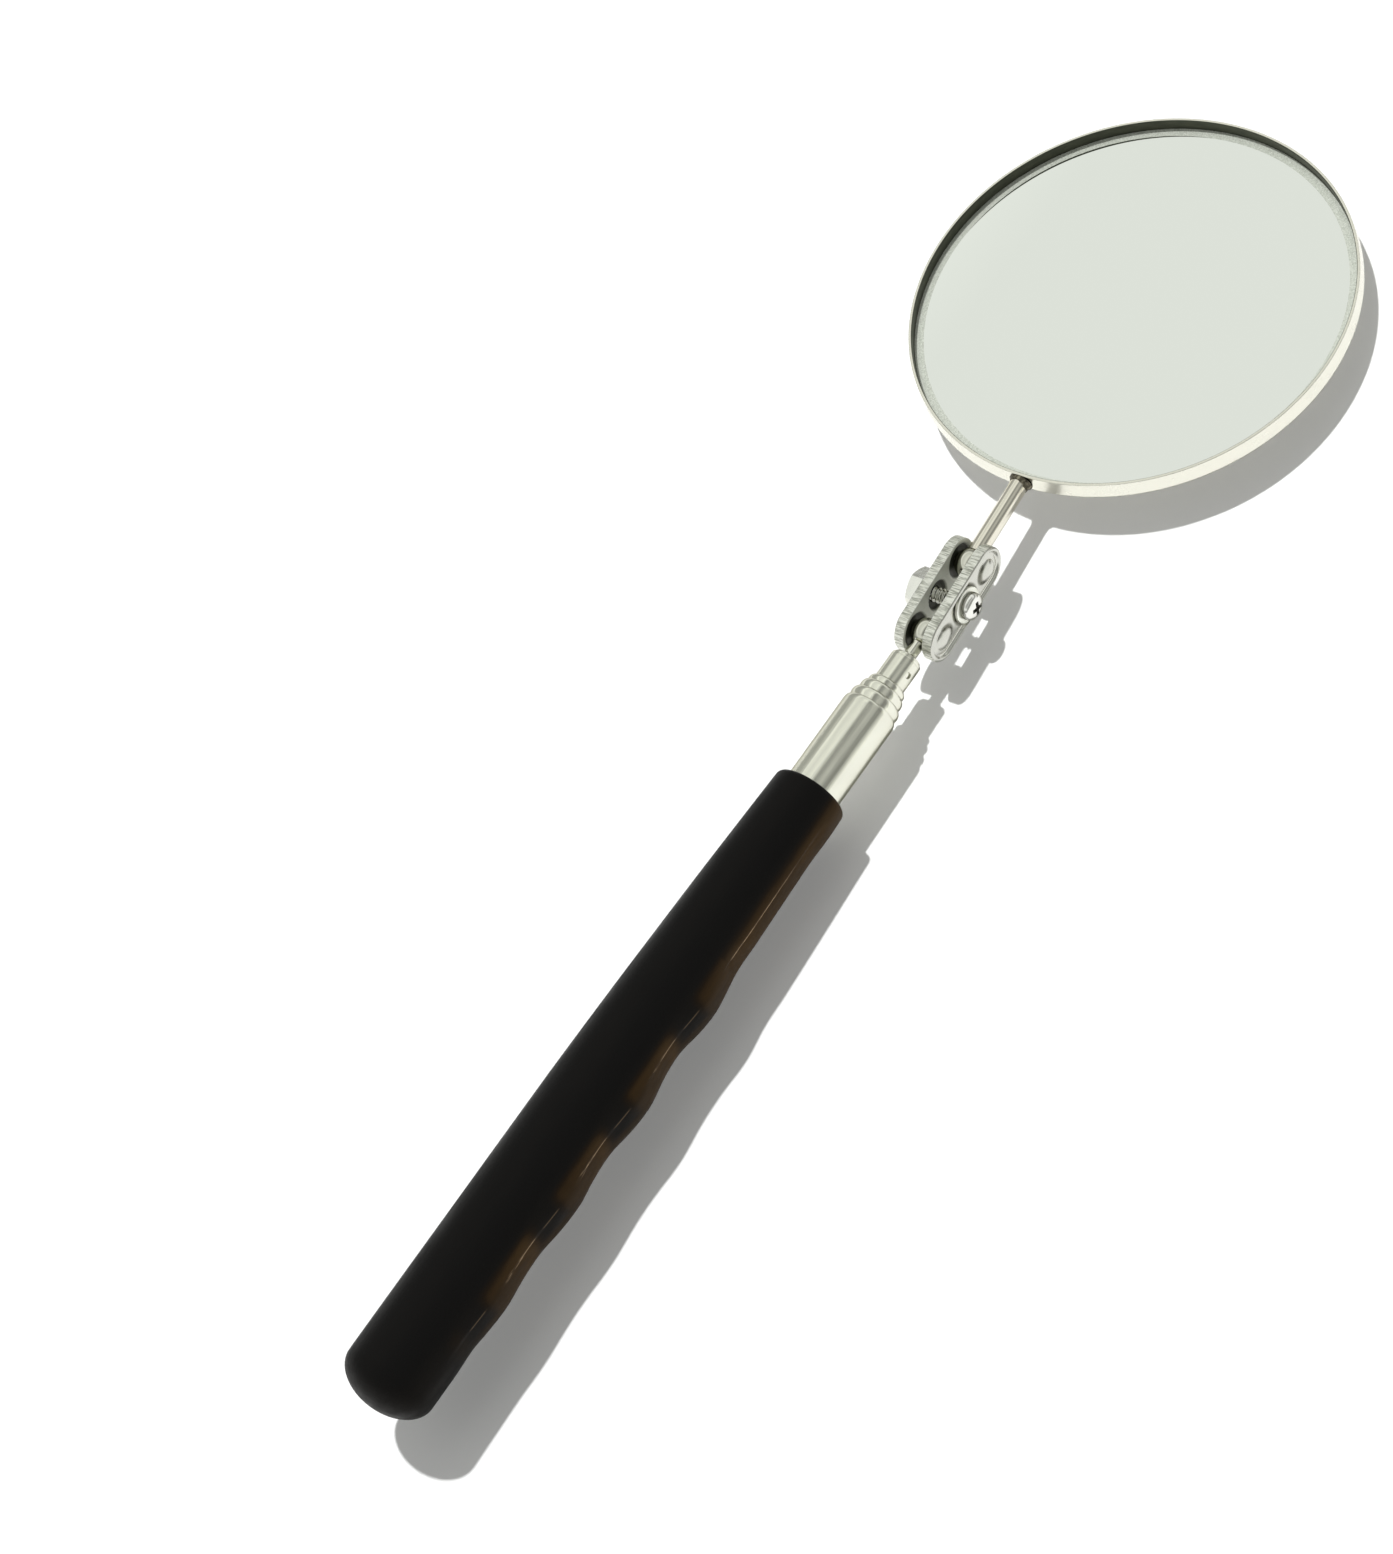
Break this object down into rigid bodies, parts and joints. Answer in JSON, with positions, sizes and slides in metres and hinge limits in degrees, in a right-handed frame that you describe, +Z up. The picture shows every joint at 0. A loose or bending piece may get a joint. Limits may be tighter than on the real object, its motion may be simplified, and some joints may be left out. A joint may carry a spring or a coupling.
{
  "type": "telescoping inspection mirror",
  "caption": "Round steel-cased mirror on a clamped double ball joint, at the end of a telescoping tube handle with a dipped finger-swell grip.",
  "frame": {"origin": "on the ground, below the middle of the retracted tool's bounding box", "axes": "+X along the handle towards the mirror, +Z up, which is the side the mirror faces"},
  "size_m": [0.28, 0.0826, 0.0189],
  "materials": {
    "grip_vinyl": "dipped vinyl, soft satin",
    "nickel_plate": "bright nickel plate",
    "plated_steel": "plated pressed steel",
    "brass": "turned brass",
    "spring_bronze": "spring bronze sheet",
    "white_nylon": "moulded nylon",
    "braze_metal": "burnt braze, dark",
    "mirror_glass": "silvered glass",
    "backing_foam": "thin bedding pad"
  },
  "bodies": {
    "handle": {"grip": "grip_vinyl", "base_tube": "nickel_plate", "end_plug": "white_nylon"},
    "section_2": {"tube_2": "nickel_plate", "slide_bush_2": "brass", "friction_spring_2": "spring_bronze"},
    "section_3": {"tube_3": "nickel_plate", "slide_bush_3": "brass", "friction_spring_3": "spring_bronze"},
    "section_4": {"tube_4": "nickel_plate", "slide_bush_4": "brass", "friction_spring_4": "spring_bronze"},
    "section_5": {"tube_5": "nickel_plate", "slide_bush_5": "brass", "friction_spring_5": "spring_bronze", "ball_stud": "nickel_plate", "cross_pin": "plated_steel"},
    "lower_ball": {"lower_ball": "nickel_plate"},
    "joint_plates": {"joint_plate_left": "plated_steel", "joint_plate_right": "plated_steel", "clamp_washer": "plated_steel", "clamp_nut": "plated_steel"},
    "clamp_screw": {"clamp_screw": "nickel_plate"},
    "upper_ball": {"upper_ball": "nickel_plate"},
    "mirror_head": {"mirror_rod": "nickel_plate", "rod_braze": "braze_metal", "mirror_case": "plated_steel", "mirror_glass": "mirror_glass", "backing_pad": "backing_foam"}
  },
  "joints": [
    {"name": "section_2_slide", "type": "slide", "parent": "handle", "child": "section_2", "axis": [0.9995, 0, -0.0319], "range_m": [0, 0.1228]},
    {"name": "section_3_slide", "type": "slide", "parent": "section_2", "child": "section_3", "axis": [0.9995, 0, -0.0319], "range_m": [0, 0.1222]},
    {"name": "section_4_slide", "type": "slide", "parent": "section_3", "child": "section_4", "axis": [0.9995, 0, -0.0319], "range_m": [0, 0.1212]},
    {"name": "section_5_slide", "type": "slide", "parent": "section_4", "child": "section_5", "axis": [0.9995, 0, -0.0319], "range_m": [0, 0.1198]},
    {"name": "lower_ball_twist", "type": "hinge", "parent": "section_5", "child": "lower_ball", "pos_m": [0.02383, -0.00498, 0.00564], "axis": [0.9995, 0, -0.0319], "continuous": true},
    {"name": "lower_ball_swing", "type": "hinge", "parent": "lower_ball", "child": "joint_plates", "pos_m": [0.02383, -0.00498, 0.00564], "axis": [-0.0662, 0.9978, 0.0021], "range_deg": [-110, 110]},
    {"name": "clamp_screw_turn", "type": "hinge", "parent": "joint_plates", "child": "clamp_screw", "pos_m": [0.03151, -0.00447, 0.00539], "axis": [0.0662, -0.9978, -0.0021], "continuous": true},
    {"name": "upper_ball_swing", "type": "hinge", "parent": "joint_plates", "child": "upper_ball", "pos_m": [0.03919, -0.00396, 0.00515], "axis": [0.0662, -0.9978, -0.0021], "range_deg": [-140, 140]},
    {"name": "mirror_twist", "type": "hinge", "parent": "upper_ball", "child": "mirror_head", "pos_m": [0.03919, -0.00396, 0.00515], "axis": [0.9973, 0.0663, -0.0319], "continuous": true}
  ]
}
